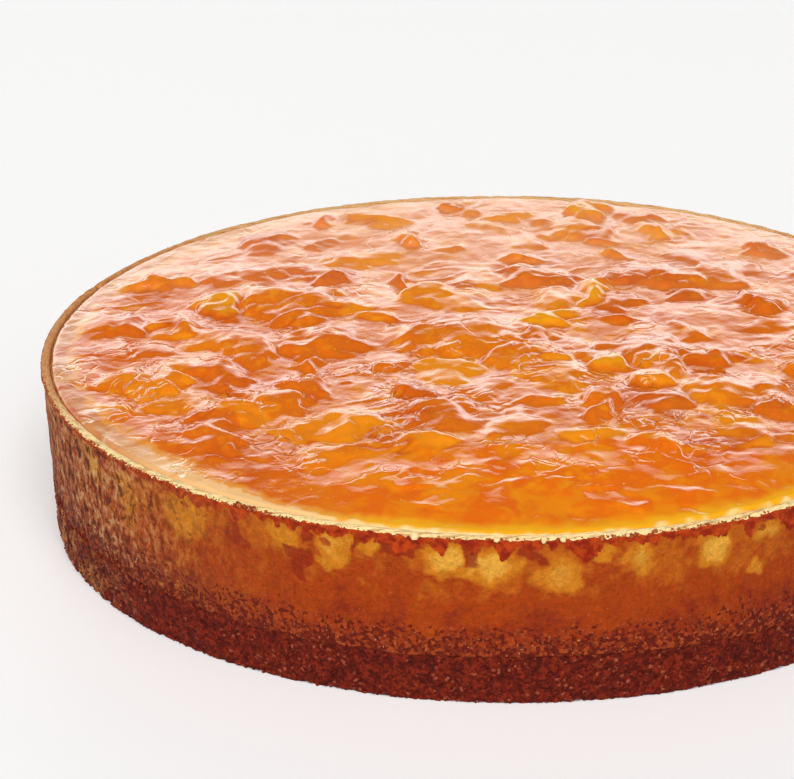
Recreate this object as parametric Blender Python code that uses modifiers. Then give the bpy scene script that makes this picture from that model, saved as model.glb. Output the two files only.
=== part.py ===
"""A whole baked cheesecake with a crumb base, a browned cheese filling and a chunky apricot jam topping.

Run it with blender --background --python part.py, or from the text editor.
Lengths are in metres, +Z is up, and the origin is the middle of the underside.
"""

import math
import random

import bmesh
import bpy
import numpy as np

# Driving dimensions of the tin that the cake was baked in
RIM_RADIUS = 0.1200
FOOT_RADIUS = 0.1164
CAKE_HEIGHT = 0.0452

# The pressed biscuit layer
CRUMB_HEIGHT = 0.0128
CRUMB_EDGE_ROUND = 0.0009
CRUMB_CRAG = 0.00045
SEAM_WAVE = 0.0008

# The baked filling and the lip that holds the jam
SHOULDER_DROP = 0.0016
LIP_WIDTH = 0.0026
LIP_ROUND = 0.0009
LIP_WAVE = 0.00030
WELL_DEPTH = 0.0042
WALL_CRAG = 0.00028
NICK_ANGLE = math.radians(156.3)
NICK_WIDTH = 0.0040
NICK_LENGTH = 0.0120
NICK_RAISED = 0.0006

# Neighbouring solids keep this distance
GAP = 0.0003

# The jam's edge and the low cushion that it makes
JAM_SHORTFALL = 0.0004
JAM_EDGE_INSET = 0.00015
JAM_RISE = 0.0024
JAM_RISE_POWER = 4.0

# The cushion is higher and steeper round this angle at the front
STEEP_ANGLE = math.radians(-80)
STEEP_NARROW = 6
STEEP_RISE = 0.0006
STEEP_POWER = 2.0

# The jam slopes down to the front like an apron: its height, how far right its middle is, how wide it
# spreads, where its slope starts and ends, and how slowly it falls off behind
APRON_HEIGHT = 0.0024
APRON_MIDDLE = 0.0220
APRON_SPREAD = 0.0700
APRON_SLOPE = (-0.1120, -0.0760)
APRON_BACK = (-0.0700, 0.0750)

# On the apron lies a pool of clear jam in which the fruit is drowned
POOL_SPREAD = 0.0650
POOL_EDGE = (-0.0840, -0.0680)
POOL_DROWNED = 0.85

# The film of jam between the fruit
FILM_DEPTH = 0.0006

# Slow swells of the spooned jam, and the waves that bend its fruit out of regular shapes.
# Each holds a seed, how many waves, how high they are and how long.
SWELL = (5, 14, 0.00030, (0.022, 0.060))
BEND_X = (21, 12, 0.0015, (0.009, 0.028))
BEND_Y = (22, 12, 0.0015, (0.009, 0.028))

# Fruit was spread less far to the front, where clear jam pooled
FRUIT_SEED = 11
FRUIT_PIECES = 110
FRUIT_LENGTH = (0.008, 0.018)
FRUIT_WIDTH_SHARE = (0.6, 0.95)
FRUIT_HEIGHT = (0.0012, 0.0032)
FRUIT_NUDGE = 0.0030
FRUIT_TURN_NUDGE = 0.12
FRUIT_REACH = 0.1010
FRUIT_REACH_SHIFT = 0.0090
FRUIT_EDGE = 0.0120
FRUIT_FADE = 0.0140
FRUIT_SPREAD = 1.35
FRUIT_BLEND = 4.0
GOLDEN_ANGLE = math.pi * (3 - math.sqrt(5))

# The large pieces that stand out: place from the middle, length, width, turn in degrees and height
LARGE_PIECES = (
    (-0.074, 0.027, 0.010, 0.020, 10, 0.0035),
    (-0.053, 0.027, 0.023, 0.020, 3, 0.0034),
    (-0.048, -0.002, 0.018, 0.021, 25, 0.0037),
    (-0.066, -0.004, 0.017, 0.018, 12, 0.0032),
    (-0.087, -0.028, 0.009, 0.020, -10, 0.0035),
    (-0.072, -0.025, 0.014, 0.021, 15, 0.0032),
    (-0.069, -0.047, 0.010, 0.019, 40, 0.0033),
    (-0.073, -0.063, 0.012, 0.019, 30, 0.0034),
    (-0.040, -0.059, 0.014, 0.018, -5, 0.0032),
    (-0.059, -0.044, 0.013, 0.016, 25, 0.0031),
    (-0.013, 0.000, 0.031, 0.021, 2, 0.0035),
    (0.005, -0.017, 0.017, 0.019, 10, 0.0032),
    (0.010, 0.012, 0.008, 0.017, -40, 0.0033),
    (0.026, -0.020, 0.009, 0.012, 0, 0.0033),
    (0.040, -0.020, 0.010, 0.020, 0, 0.0032),
    (0.023, -0.048, 0.007, 0.020, -10, 0.0037),
    (0.053, -0.039, 0.013, 0.020, -15, 0.0033),
    (0.064, -0.036, 0.012, 0.020, 10, 0.0032),
    (0.025, 0.106, 0.010, 0.016, 0, 0.0032),
    (0.020, 0.088, 0.016, 0.020, 10, 0.0032),
    (0.046, 0.047, 0.026, 0.018, -12, 0.0032),
    (0.067, 0.027, 0.009, 0.017, 20, 0.0032),
    (0.024, 0.034, 0.008, 0.020, -10, 0.0037),
    (0.009, 0.046, 0.018, 0.015, 15, 0.0031),
    (-0.085, 0.011, 0.010, 0.017, 30, 0.0031),
)

# How finely the solids are faceted
ROUND_STEPS = 144
CRUMB_ROWS = 4
FILLING_ROWS = 7
JAM_CELLS = 62

# Where the crags of a wall are counted from: turns round the cake and waves up its height
CRAG_TURNS = (18, 44)
CRAG_CLIMB = (0.009, 0.024)
CRAG_COUNT = 16
CRUMB_SEED = 3
WALL_SEED = 7
SEAM_SEED = 2
LIP_SEED = 9
RING_TURNS = (2, 9)
RING_COUNT = 6
MERGE_DISTANCE = 0.00001


def empty_scene():
    """Removes what the file held before."""
    for thing in list(bpy.data.objects):
        bpy.data.objects.remove(thing, do_unlink=True)


def collection(name):
    """A new collection in the scene."""
    made = bpy.data.collections.new(name)
    bpy.context.scene.collection.children.link(made)
    return made


def material(name, colour, roughness):
    """A plain food finish: its colour and how dull it is."""
    made = bpy.data.materials.new(name)
    made.use_nodes = True
    shader = made.node_tree.nodes["Principled BSDF"]
    shader.inputs["Base Color"].default_value = (*colour, 1.0)
    shader.inputs["Roughness"].default_value = roughness
    shader.inputs["Metallic"].default_value = 0.0
    return made


def ring_wave(angle, seed, size):
    """An uneven edge round the cake: a seeded sum of whole-turn cosines, about `size` high."""
    draw = random.Random(seed)
    total = np.zeros_like(angle)
    for _ in range(RING_COUNT):
        turns = draw.randint(*RING_TURNS)
        total += np.cos(turns * angle + draw.uniform(0, 2 * math.pi))
    return size * total / math.sqrt(RING_COUNT * 2)


def crags(angle, height, seed, size):
    """Relief of a baked wall, from 0 inwards to `size`: waves that run round the cake and up it."""
    draw = random.Random(seed)
    total = np.zeros_like(angle)
    for _ in range(CRAG_COUNT):
        turns = draw.randint(*CRAG_TURNS)
        climb = draw.choice((-1, 1)) * 2 * math.pi / draw.uniform(*CRAG_CLIMB)
        total += np.cos(turns * angle + climb * height + draw.uniform(0, 2 * math.pi))
    share = 0.5 + 0.5 * total / math.sqrt(CRAG_COUNT * 2)
    return size * np.clip(share, 0.0, 1.0)


def wall_radius(height):
    """The tin's wall leans out evenly from the foot to the shoulder under the lip."""
    return FOOT_RADIUS + (RIM_RADIUS - FOOT_RADIUS) * height / (CAKE_HEIGHT - SHOULDER_DROP)


def turned_solid(name, profile):
    """A closed solid of revolution: the profile runs from the axis, down the outside, to the axis."""
    mesh = bpy.data.meshes.new(name + "_profile")
    points = [(radius, 0.0, height) for radius, height in profile]
    edges = [(i, i + 1) for i in range(len(points) - 1)]
    mesh.from_pydata(points, edges, [])
    outline = bpy.data.objects.new(name + "_profile", mesh)
    bpy.context.scene.collection.objects.link(outline)

    screw = outline.modifiers.new("turn", "SCREW")
    screw.axis = "Z"
    screw.angle = 2 * math.pi
    screw.steps = ROUND_STEPS
    screw.render_steps = ROUND_STEPS
    screw.use_merge_vertices = True
    screw.merge_threshold = MERGE_DISTANCE

    bpy.context.view_layer.update()
    turned = outline.evaluated_get(bpy.context.evaluated_depsgraph_get())
    solid = bpy.data.meshes.new_from_object(turned)
    solid.name = name
    bpy.data.objects.remove(outline, do_unlink=True)
    return solid


def close_and_face_out(mesh):
    """Merges doubled points and turns every face outwards."""
    work = bmesh.new()
    work.from_mesh(mesh)
    bmesh.ops.remove_doubles(work, verts=work.verts, dist=MERGE_DISTANCE)
    bmesh.ops.recalc_face_normals(work, faces=work.faces)
    work.to_mesh(mesh)
    work.free()


def points_of(mesh):
    """The mesh's points as an array with a row for each."""
    points = np.empty(len(mesh.vertices) * 3)
    mesh.vertices.foreach_get("co", points)
    return points.reshape(-1, 3)


def move_points(mesh, points):
    """Puts the moved points back into the mesh."""
    mesh.vertices.foreach_set("co", points.ravel())
    mesh.update()


def add_part(name, mesh, finish, group, parent):
    """A named sub-part with its own material, smooth apart from sharp edges, under the cake's empty."""
    mesh.materials.clear()
    mesh.materials.append(finish)
    mesh.shade_smooth()
    mesh.set_sharp_from_angle(angle=math.radians(40))
    made = bpy.data.objects.new(name, mesh)
    group.objects.link(made)
    made.parent = parent
    return made


def arc(centre, radius, start, end, count):
    """Points on a round edge, from one angle in degrees to another."""
    turns = np.radians(np.linspace(start, end, count))
    return [(centre[0] + radius * math.cos(t), centre[1] + radius * math.sin(t)) for t in turns]


def make_crumb_base(finish, group, parent):
    """The pressed biscuit layer: a low disc with rounded edges, a crumbly wall and an uneven top edge."""
    rounding = CRUMB_EDGE_ROUND
    top_radius = wall_radius(CRUMB_HEIGHT)
    heights = np.linspace(CRUMB_HEIGHT - rounding, rounding, CRUMB_ROWS)
    profile = [(0.0, CRUMB_HEIGHT)]
    profile += arc((top_radius - rounding, CRUMB_HEIGHT - rounding), rounding, 90, 30, 2)
    profile += [(float(wall_radius(h)), float(h)) for h in heights]
    profile += [(FOOT_RADIUS - rounding, 0.0), (0.0, 0.0)]
    mesh = turned_solid("crumb_base", profile)
    close_and_face_out(mesh)

    points = points_of(mesh)
    radius = np.hypot(points[:, 0], points[:, 1])
    angle = np.arctan2(points[:, 1], points[:, 0])
    height = points[:, 2].copy()
    near_top = np.clip(height / CRUMB_HEIGHT, 0.0, 1.0) * (radius / top_radius) ** 2
    points[:, 2] += near_top * ring_wave(angle, SEAM_SEED, SEAM_WAVE)
    inwards = crags(angle, height, CRUMB_SEED, CRUMB_CRAG) * (radius > 0.9 * FOOT_RADIUS)
    points[:, :2] *= ((radius - inwards) / np.maximum(radius, MERGE_DISTANCE))[:, None]
    move_points(mesh, points)
    return add_part("crumb_base", mesh, finish, group, parent)


def make_filling(finish, group, parent, cutters):
    """The baked cheese filling: a tall disc, a rounded lip round its top and a shallow well inside it."""
    floor = CRUMB_HEIGHT + GAP
    well_radius = RIM_RADIUS - LIP_WIDTH
    shoulder = CAKE_HEIGHT - SHOULDER_DROP
    heights = np.linspace(shoulder, floor, FILLING_ROWS)
    profile = [(0.0, CAKE_HEIGHT - WELL_DEPTH), (well_radius - LIP_ROUND, CAKE_HEIGHT - WELL_DEPTH)]
    profile += arc((well_radius + LIP_ROUND, CAKE_HEIGHT - LIP_ROUND), LIP_ROUND, 180, 90, 3)
    profile += [(RIM_RADIUS - 0.5 * SHOULDER_DROP, CAKE_HEIGHT - 0.3 * SHOULDER_DROP)]
    profile += [(float(wall_radius(h)), float(h)) for h in heights]
    profile += [(0.0, floor)]
    mesh = turned_solid("cheese_filling", profile)
    close_and_face_out(mesh)

    points = points_of(mesh)
    radius = np.hypot(points[:, 0], points[:, 1])
    angle = np.arctan2(points[:, 1], points[:, 0])
    height = points[:, 2].copy()
    at_floor = (height < floor + MERGE_DISTANCE) * (radius / wall_radius(floor)) ** 2
    at_lip = np.clip((height - shoulder) / SHOULDER_DROP, 0.0, 1.0) * (radius > well_radius)
    points[:, 2] += at_floor * ring_wave(angle, SEAM_SEED, SEAM_WAVE)
    points[:, 2] -= at_lip * np.abs(ring_wave(angle, LIP_SEED, LIP_WAVE))
    on_wall = (radius > wall_radius(floor) - LIP_ROUND) * (height < shoulder - MERGE_DISTANCE)
    inwards = on_wall * crags(angle, height, WALL_SEED, WALL_CRAG)
    points[:, :2] *= ((radius - inwards) / np.maximum(radius, MERGE_DISTANCE))[:, None]
    move_points(mesh, points)
    filling = add_part("cheese_filling", mesh, finish, group, parent)

    nick = make_nick_cutter(cutters)
    cut = filling.modifiers.new("nick", "BOOLEAN")
    cut.operation = "DIFFERENCE"
    cut.object = nick
    return filling


def make_nick_cutter(cutters):
    """A square bar on its edge, laid across the lip, which leaves a small V where the edge broke off."""
    middle = RIM_RADIUS - 0.3 * LIP_WIDTH
    bpy.ops.mesh.primitive_cube_add(size=1.0)
    nick = bpy.context.active_object
    nick.name = "nick_cutter"
    side = NICK_WIDTH / math.sqrt(2)
    nick.scale = (NICK_LENGTH, side, side)
    nick.rotation_euler = (math.radians(45), 0.0, NICK_ANGLE)
    nick.location = (
        middle * math.cos(NICK_ANGLE),
        middle * math.sin(NICK_ANGLE),
        CAKE_HEIGHT + NICK_RAISED,
    )
    for group in list(nick.users_collection):
        group.objects.unlink(nick)
    cutters.objects.link(nick)
    nick.hide_render = True
    nick.display_type = "WIRE"
    return nick


def plane_waves(x, y, seed, count, size, lengths):
    """A seeded sum of plane waves in all directions, whose usual height is `size`."""
    draw = random.Random(seed)
    total = np.zeros_like(x)
    for _ in range(count):
        heading = draw.uniform(0, 2 * math.pi)
        pace = 2 * math.pi / draw.uniform(*lengths)
        along = x * math.cos(heading) + y * math.sin(heading)
        total += np.cos(pace * along + draw.uniform(0, 2 * math.pi))
    return size * total / math.sqrt(count / 2)


def fruit_layout():
    """The large pieces, then smaller ones on a sunflower spiral, each nudged, turned and sized by chance."""
    pieces = [(x, y, a, b, math.radians(turn), h) for x, y, a, b, turn, h in LARGE_PIECES]
    draw = random.Random(FRUIT_SEED)
    for i in range(FRUIT_PIECES):
        reach = (FRUIT_REACH + FRUIT_REACH_SHIFT) * math.sqrt((i + 0.5) / FRUIT_PIECES)
        reach += draw.uniform(-FRUIT_NUDGE, FRUIT_NUDGE)
        angle = i * GOLDEN_ANGLE + draw.uniform(-FRUIT_TURN_NUDGE, FRUIT_TURN_NUDGE)
        length = draw.uniform(*FRUIT_LENGTH)
        width = length * draw.uniform(*FRUIT_WIDTH_SHARE)
        turn = draw.uniform(0, math.pi)
        height = draw.uniform(*FRUIT_HEIGHT)
        pieces.append((reach * math.cos(angle), reach * math.sin(angle), length, width, turn, height))
    return pieces


def ease(low, high, value):
    """0 at `low`, 1 at `high` and beyond, and the curve 3t^2 - 2t^3 of the share t between them."""
    share = np.clip((value - low) / (high - low), 0.0, 1.0)
    return share * share * (3 - 2 * share)


def lumps(x, y):
    """Height of the jam: its film and a dome for each piece of fruit, joined by a power mean."""
    x = x + plane_waves(x, y, *BEND_X)
    y = y + plane_waves(x, y, *BEND_Y)
    total = np.full_like(x, FILM_DEPTH ** FRUIT_BLEND)
    for px, py, length, width, turn, height in fruit_layout():
        along = (x - px) * math.cos(turn) + (y - py) * math.sin(turn)
        across = (y - py) * math.cos(turn) - (x - px) * math.sin(turn)
        away = np.hypot(2 * along / length, 2 * across / width) / FRUIT_SPREAD
        total += (height * np.maximum(1 - away ** 2, 0.0)) ** FRUIT_BLEND
    return total ** (1 / FRUIT_BLEND)


def pool(x, y):
    """How much of the place is clear jam, from 0 to 1."""
    return (1 - ease(*POOL_EDGE, y)) * np.exp(-((x - APRON_MIDDLE) / POOL_SPREAD) ** 2)


def apron(x, y):
    """Height of the slope at the front: an even rise towards the middle and a slow fall behind it."""
    start, end = APRON_SLOPE
    along = np.clip((y - start) / (end - start), 0.0, 1.0) * (1 - ease(*APRON_BACK, y))
    return APRON_HEIGHT * along * np.exp(-((x - APRON_MIDDLE) / APRON_SPREAD) ** 2)


def cushion(x, y):
    """The low cushion that the jam makes: it falls to the lip, and more steeply at the front."""
    steep = np.maximum(np.cos(np.arctan2(y, x) - STEEP_ANGLE), 0.0) ** STEEP_NARROW
    share = np.hypot(x, y) / (RIM_RADIUS - LIP_WIDTH)
    return (JAM_RISE + STEEP_RISE * steep) * (1 - share ** (JAM_RISE_POWER + STEEP_POWER * steep))


def jam_top(x, y):
    """The jam's surface: cushion and apron, with swells and fruit that fade out towards the lip."""
    radius = np.hypot(x, y)
    reach = FRUIT_REACH + FRUIT_REACH_SHIFT * y / np.maximum(radius, MERGE_DISTANCE)
    inside = ease(0.0, FRUIT_FADE, reach + FRUIT_EDGE - radius)
    fruit = (1 - POOL_DROWNED * pool(x, y)) * (lumps(x, y) - FILM_DEPTH)
    skin = plane_waves(x, y, *SWELL) + fruit
    return CAKE_HEIGHT - JAM_SHORTFALL + cushion(x, y) + apron(x, y) + inside * skin


def make_jam(finish, group, parent):
    """The jam: a grid bent to a disc, raised to the jam's surface and closed to a flat underside."""
    radius = RIM_RADIUS - LIP_WIDTH - JAM_EDGE_INSET
    foot_share = (RIM_RADIUS - LIP_WIDTH - LIP_ROUND - 1.5 * GAP) / radius
    underside = CAKE_HEIGHT - WELL_DEPTH + GAP
    bpy.ops.mesh.primitive_grid_add(x_subdivisions=JAM_CELLS, y_subdivisions=JAM_CELLS, size=2.0)
    grid = bpy.context.active_object
    mesh = grid.data
    mesh.name = "fruit_topping"
    square = points_of(mesh)
    u = square[:, 0]
    v = square[:, 1]
    x = radius * u * np.sqrt(1 - 0.5 * v * v)
    y = radius * v * np.sqrt(1 - 0.5 * u * u)
    move_points(mesh, np.column_stack((x, y, jam_top(x, y))))

    work = bmesh.new()
    work.from_mesh(mesh)
    border = [edge for edge in work.edges if edge.is_boundary]
    lowered = bmesh.ops.extrude_edge_only(work, edges=border)["geom"]
    for item in lowered:
        if isinstance(item, bmesh.types.BMVert):
            item.co = (foot_share * item.co.x, foot_share * item.co.y, underside)
    foot = [item for item in lowered if isinstance(item, bmesh.types.BMEdge)]
    bmesh.ops.contextual_create(work, geom=foot)
    bmesh.ops.recalc_face_normals(work, faces=work.faces)
    work.to_mesh(mesh)
    work.free()
    bpy.data.objects.remove(grid, do_unlink=True)
    return add_part("fruit_topping", mesh, finish, group, parent)


def main():
    """Builds the cake from the bottom up."""
    empty_scene()
    cake = collection("cheesecake")
    cutters = collection("cutters")
    middle = bpy.data.objects.new("cake_middle", None)
    cake.objects.link(middle)
    biscuit = material("toasted_crumbs", (0.16, 0.035, 0.014), 0.75)
    baked = material("browned_filling", (0.42, 0.11, 0.02), 0.55)
    jam = material("apricot_jam", (0.78, 0.20, 0.012), 0.12)
    make_crumb_base(biscuit, cake, middle)
    make_filling(baked, cake, middle, cutters)
    make_jam(jam, cake, middle)
    bpy.context.view_layer.update()


main()
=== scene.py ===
# %% [markdown]
# A whole baked cheesecake. It has three layers that show: a dark base of pressed biscuit crumbs, a
# filling whose side browned against the tin, and a glossy apricot jam full of fruit. The packed
# solids already have the right sizes, but each is faceted and plain, so every layer is made again
# here as a fine surface with its own finish.
#
# The first cell loads the solids.

# %% Load the imported solids
import itertools
import math
import random

import bpy
import numpy as np
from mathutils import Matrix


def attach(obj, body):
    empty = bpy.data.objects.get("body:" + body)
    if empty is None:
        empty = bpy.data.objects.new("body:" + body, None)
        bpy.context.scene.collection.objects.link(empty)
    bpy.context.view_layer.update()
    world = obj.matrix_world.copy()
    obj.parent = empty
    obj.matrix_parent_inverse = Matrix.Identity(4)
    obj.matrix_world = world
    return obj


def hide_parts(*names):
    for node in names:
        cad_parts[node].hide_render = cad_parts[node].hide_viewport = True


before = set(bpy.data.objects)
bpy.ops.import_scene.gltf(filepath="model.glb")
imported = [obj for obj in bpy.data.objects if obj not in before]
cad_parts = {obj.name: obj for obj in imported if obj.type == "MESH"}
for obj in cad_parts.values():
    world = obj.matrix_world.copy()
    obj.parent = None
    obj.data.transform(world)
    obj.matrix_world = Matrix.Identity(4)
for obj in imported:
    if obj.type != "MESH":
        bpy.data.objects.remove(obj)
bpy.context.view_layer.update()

# %% [markdown]
# The cake's own measures come next, in metres with +Z up and the origin under its middle. They are
# those of the solids. A length such as a rim radius could be read from the solids' boxes, but a
# named number is easier to follow.

# %% The cake's measures
MM = 0.001
RIM_RADIUS = 120.0 * MM
FOOT_RADIUS = 116.4 * MM
CAKE_HEIGHT = 45.2 * MM
CRUMB_HEIGHT = 12.8 * MM
SHOULDER_DROP = 1.6 * MM
LIP_WIDTH = 2.6 * MM
LIP_ROUND = 0.9 * MM
WELL_DEPTH = 4.2 * MM
WELL_RADIUS = RIM_RADIUS - LIP_WIDTH
NICK_ANGLE = math.radians(156.3)
print("the cake is", round(2 * RIM_RADIUS / MM), "mm across, its rim", round(CAKE_HEIGHT / MM, 1), "mm up")

# %% [markdown]
# Nothing baked is smooth, so most shapes below need noise. Blender has noise functions, but they
# take one point at a time. This one is worked out for whole arrays: space is cut in cubes, each
# corner gets a direction by chance, and a point blends how far it lies along the directions of its
# cube's eight corners.

# %% Noise for whole arrays of points
def smooth(low, high, value):
    """0 at `low` and before it, 1 at `high` and past it, and 3t^2 - 2t^3 of the share t between them."""
    share = np.clip((value - low) / (high - low), 0.0, 1.0)
    return share * share * (3 - 2 * share)


def noise(x, y, z, size, seed):
    """Chance values from about -1 to 1 whose bumps are `size` wide: the sum over a cube's corners of
    (direction of the corner . way from the corner) times the share 6t^5 - 15t^4 + 10t^3 of each axis."""
    chance = np.random.default_rng(seed)
    order = chance.permutation(256)
    directions = chance.normal(size=(256, 3))
    directions /= np.linalg.norm(directions, axis=1)[:, None]
    spots = [np.asarray(c, float) / size for c in np.broadcast_arrays(x, y, z)]
    cubes = [np.floor(c).astype(int) for c in spots]
    ways = [c - cube for c, cube in zip(spots, cubes)]
    shares = [t * t * t * (t * (6 * t - 15) + 10) for t in ways]
    total = np.zeros_like(spots[0])
    for corner in itertools.product((0, 1), repeat=3):
        pick = 0
        for cube, step in zip(cubes, corner):
            pick = order[(pick + cube + step) % 256]
        along = sum(directions[pick, k] * (ways[k] - corner[k]) for k in range(3))
        weight = 1.0
        for share, step in zip(shares, corner):
            weight = weight * (share if step else 1 - share)
        total += weight * along
    return 1.6 * total


test_line = noise(np.linspace(0, 1, 5000), 0.3, 0.7, 0.01, 1)
print("noise runs from", round(float(test_line.min()), 2), "to", round(float(test_line.max()), 2))

# %% [markdown]
# A crumb wall is a heap of grains pressed together. Cell noise gives that: each cube of space holds
# one grain centre at a chance place, and a point reads how far its nearest centre is. Near a centre
# the grain swells, between two centres there is a crack.

# %% Grains for whole arrays of points
def grain_distance(x, y, z, size, seed):
    """Distance to the nearest grain centre in units of `size`: the least over the 27 cubes round it."""
    centres = np.random.default_rng(seed).uniform(0, 1, (64, 64, 64, 3))
    spots = np.stack(np.broadcast_arrays(x, y, z), axis=-1) / size
    cubes = np.floor(spots).astype(int)
    nearest = np.full(spots.shape[:-1], 9.0)
    for step in itertools.product((-1, 0, 1), repeat=3):
        there = cubes + np.array(step)
        wrapped = there % 64
        centre = there + centres[wrapped[..., 0], wrapped[..., 1], wrapped[..., 2]]
        nearest = np.minimum(nearest, np.linalg.norm(spots - centre, axis=-1))
    return nearest


middle_distance = float(np.median(grain_distance(test_line, 0.1, 0.2, 0.02, 2)))
print("half of all points are nearer than", round(middle_distance, 2), "to a grain's centre")

# %% [markdown]
# A few helpers put arrays into Blender. A turned shape starts as a grid with one row for each point
# of its profile, and its rows are joined from the top pole to the bottom pole, so that the surface
# is closed. `make_piece` makes the mesh, stores values such as browning on its points for the
# finish to read, and says which body it rides on and which solid it stands for.

# %% Closed turned surfaces and pieces
def turned_grid(profile, columns):
    """Radius, height and angle of a turned shape: the profile down the rows, a whole turn along them."""
    turn = 2 * math.pi * np.arange(columns)[None, :] / columns
    radius = np.repeat(profile[:, :1], columns, axis=1)
    height = np.repeat(profile[:, 1:], columns, axis=1)
    return radius, height, np.repeat(turn, len(profile), axis=0)


def degrees_from_front(angle):
    """How far round the cake a point is, in degrees from the front and towards the left."""
    return np.degrees((-math.pi / 2 - angle) % (2 * math.pi))


def turned_faces(rows, columns):
    """Faces of a closed turned surface whose points are the top pole, the rows and the bottom pole."""
    point = 1 + np.arange(rows)[:, None] * columns + np.arange(columns)[None, :]
    beside = np.roll(point, -1, axis=1)
    quads = np.stack((point[:-1], point[1:], beside[1:], beside[:-1]), axis=-1).reshape(-1, 4)
    top = np.stack((np.zeros(columns, int), point[0], beside[0]), axis=-1)
    last = np.full(columns, 1 + rows * columns)
    bottom = np.stack((last, beside[-1], point[-1]), axis=-1)
    return [*quads.tolist(), *top.tolist(), *bottom.tolist()]


def turned_points(x, y, z, top, bottom):
    """The rows of a turned surface with its two poles on the axis, as one list of points."""
    rows = np.stack((x, y, z), axis=-1).reshape(-1, 3)
    return np.vstack(([(0.0, 0.0, top)], rows, [(0.0, 0.0, bottom)]))


def make_piece(name, points, faces, finish, slot, replaced=(), **marks):
    """A smooth mesh piece; `marks` are values kept on its points, which its finish reads by name."""
    mesh = bpy.data.meshes.new(name)
    mesh.from_pydata(points, [], faces)
    mesh.materials.append(finish)
    mesh.shade_smooth()
    for mark, values in marks.items():
        kept = mesh.attributes.new(mark, "FLOAT", "POINT")
        kept.data.foreach_set("value", np.asarray(values, np.float32))
    piece = bpy.data.objects.new(name, mesh)
    bpy.context.scene.collection.objects.link(piece)
    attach(piece, "root")
    if replaced:
        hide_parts(*replaced)
    print(name, "has", len(points), "points and", sum(len(face) - 2 for face in faces), "triangles")
    return piece


# %% [markdown]
# A finish is a tree of shader nodes. Written as Python sums it stays readable: a link between nodes
# is wrapped in a small class whose plus, minus, times and so on each add one Math node. Every other
# node comes from the one method `add`, which takes the node's type, its settings and what goes into
# its sockets.

# %% Finishes written as sums
class Link:
    """One output of a node. A sum such as 1 - mask adds the Math node that works it out."""

    def __init__(self, finish, socket):
        self.finish = finish
        self.socket = socket

    def math(self, operation, first, second):
        """A Math node with that operation on two values or links."""
        return self.finish.add("ShaderNodeMath", {"operation": operation}, {0: first, 1: second})[0]

    def __add__(self, other):
        return self.math("ADD", self, other)

    def __radd__(self, other):
        return self.math("ADD", other, self)

    def __sub__(self, other):
        return self.math("SUBTRACT", self, other)

    def __rsub__(self, other):
        return self.math("SUBTRACT", other, self)

    def __mul__(self, other):
        return self.math("MULTIPLY", self, other)

    def __rmul__(self, other):
        return self.math("MULTIPLY", other, self)

    def __pow__(self, other):
        return self.math("POWER", self, other)

    def __abs__(self):
        return self.math("ABSOLUTE", self, 0.0)


class Finish:
    """A material or the world under construction. Its methods add nodes and give back their outputs."""

    def __init__(self, owner):
        self.owner = owner
        self.owner.use_nodes = True
        self.tree = self.owner.node_tree
        self.tree.nodes.clear()

    def add(self, kind, settings=None, inputs=None):
        """A node of that kind; its outputs come back by name and by number."""
        made = self.tree.nodes.new(kind)
        for key, value in (settings or {}).items():
            setattr(made, key, value)
        for key, value in (inputs or {}).items():
            socket = made.inputs[key]
            if isinstance(value, Link):
                self.tree.links.new(value.socket, socket)
            elif socket.type == "RGBA":
                socket.default_value = (*value, 1.0)
            else:
                socket.default_value = value
        links = [Link(self, socket) for socket in made.outputs]
        return {**dict(enumerate(links)), **dict(zip(made.outputs.keys(), links))}

    def place(self):
        """Where a point lies on the cake, in metres."""
        return self.add("ShaderNodeTexCoord")["Object"]

    def mark(self, name):
        """A value that the piece keeps on its points."""
        return self.add("ShaderNodeAttribute", {"attribute_name": name})["Fac"]

    def cloud(self, place, size, detail=2.0, roughness=0.5, seed=0.0):
        """Soft noise from 0 to 1 with bumps about `size` metres wide; each `seed` gives other bumps."""
        values = {"Vector": place, "W": seed, "Scale": 1 / size, "Detail": detail, "Roughness": roughness}
        return self.add("ShaderNodeTexNoise", {"noise_dimensions": "4D"}, values)["Fac"]

    def grains(self, place, size):
        """Cell noise: the distance to the nearest grain centre, and a chance colour for each grain."""
        return self.add("ShaderNodeTexVoronoi", {}, {"Vector": place, "Scale": 1 / size})

    def ease(self, value, low, high):
        """0 below `low`, 1 above `high` and a smooth step between them."""
        settings = {"interpolation_type": "SMOOTHSTEP"}
        return self.add("ShaderNodeMapRange", settings, {0: value, 1: low, 2: high})[0]

    def mix(self, first, second, share):
        """The first colour where `share` is 0 and the second where it is 1."""
        return self.add("ShaderNodeMix", {"data_type": "RGBA"}, {0: share, 6: first, 7: second})[2]

    def tint(self, colour, strength):
        """A colour made lighter or darker: each channel times `strength`."""
        return self.add("ShaderNodeVectorMath", {"operation": "SCALE"}, {0: colour, "Scale": strength})[0]

    def shift(self, place, size, amount):
        """The place moved by up to about half of `amount`, in a direction that changes over `size`."""
        values = {"Vector": place, "Scale": 1 / size, "Detail": 1.0}
        drift = self.add("ShaderNodeTexNoise", {}, values)["Color"]
        moved = {0: drift, 1: (amount,) * 3, 2: place}
        return self.add("ShaderNodeVectorMath", {"operation": "MULTIPLY_ADD"}, moved)[0]

    def axis(self, place, name):
        """One coordinate of a place: its X, Y or Z."""
        return self.add("ShaderNodeSeparateXYZ", {}, {0: place})[name]

    def bump(self, height, depth, under=None):
        """A Bump node: `height` from 0 to 1 stands for `depth` metres, on top of the bumps `under` it."""
        values = {"Height": height, "Distance": depth}
        if under is not None:
            values["Normal"] = under
        return self.add("ShaderNodeBump", {}, values)["Normal"]

    def skin(self, values):
        """The surface shader with those values in its sockets, and the output."""
        shader = self.add("ShaderNodeBsdfPrincipled", {}, values)
        self.add("ShaderNodeOutputMaterial", {}, {"Surface": shader["BSDF"]})
        return self.owner


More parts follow.
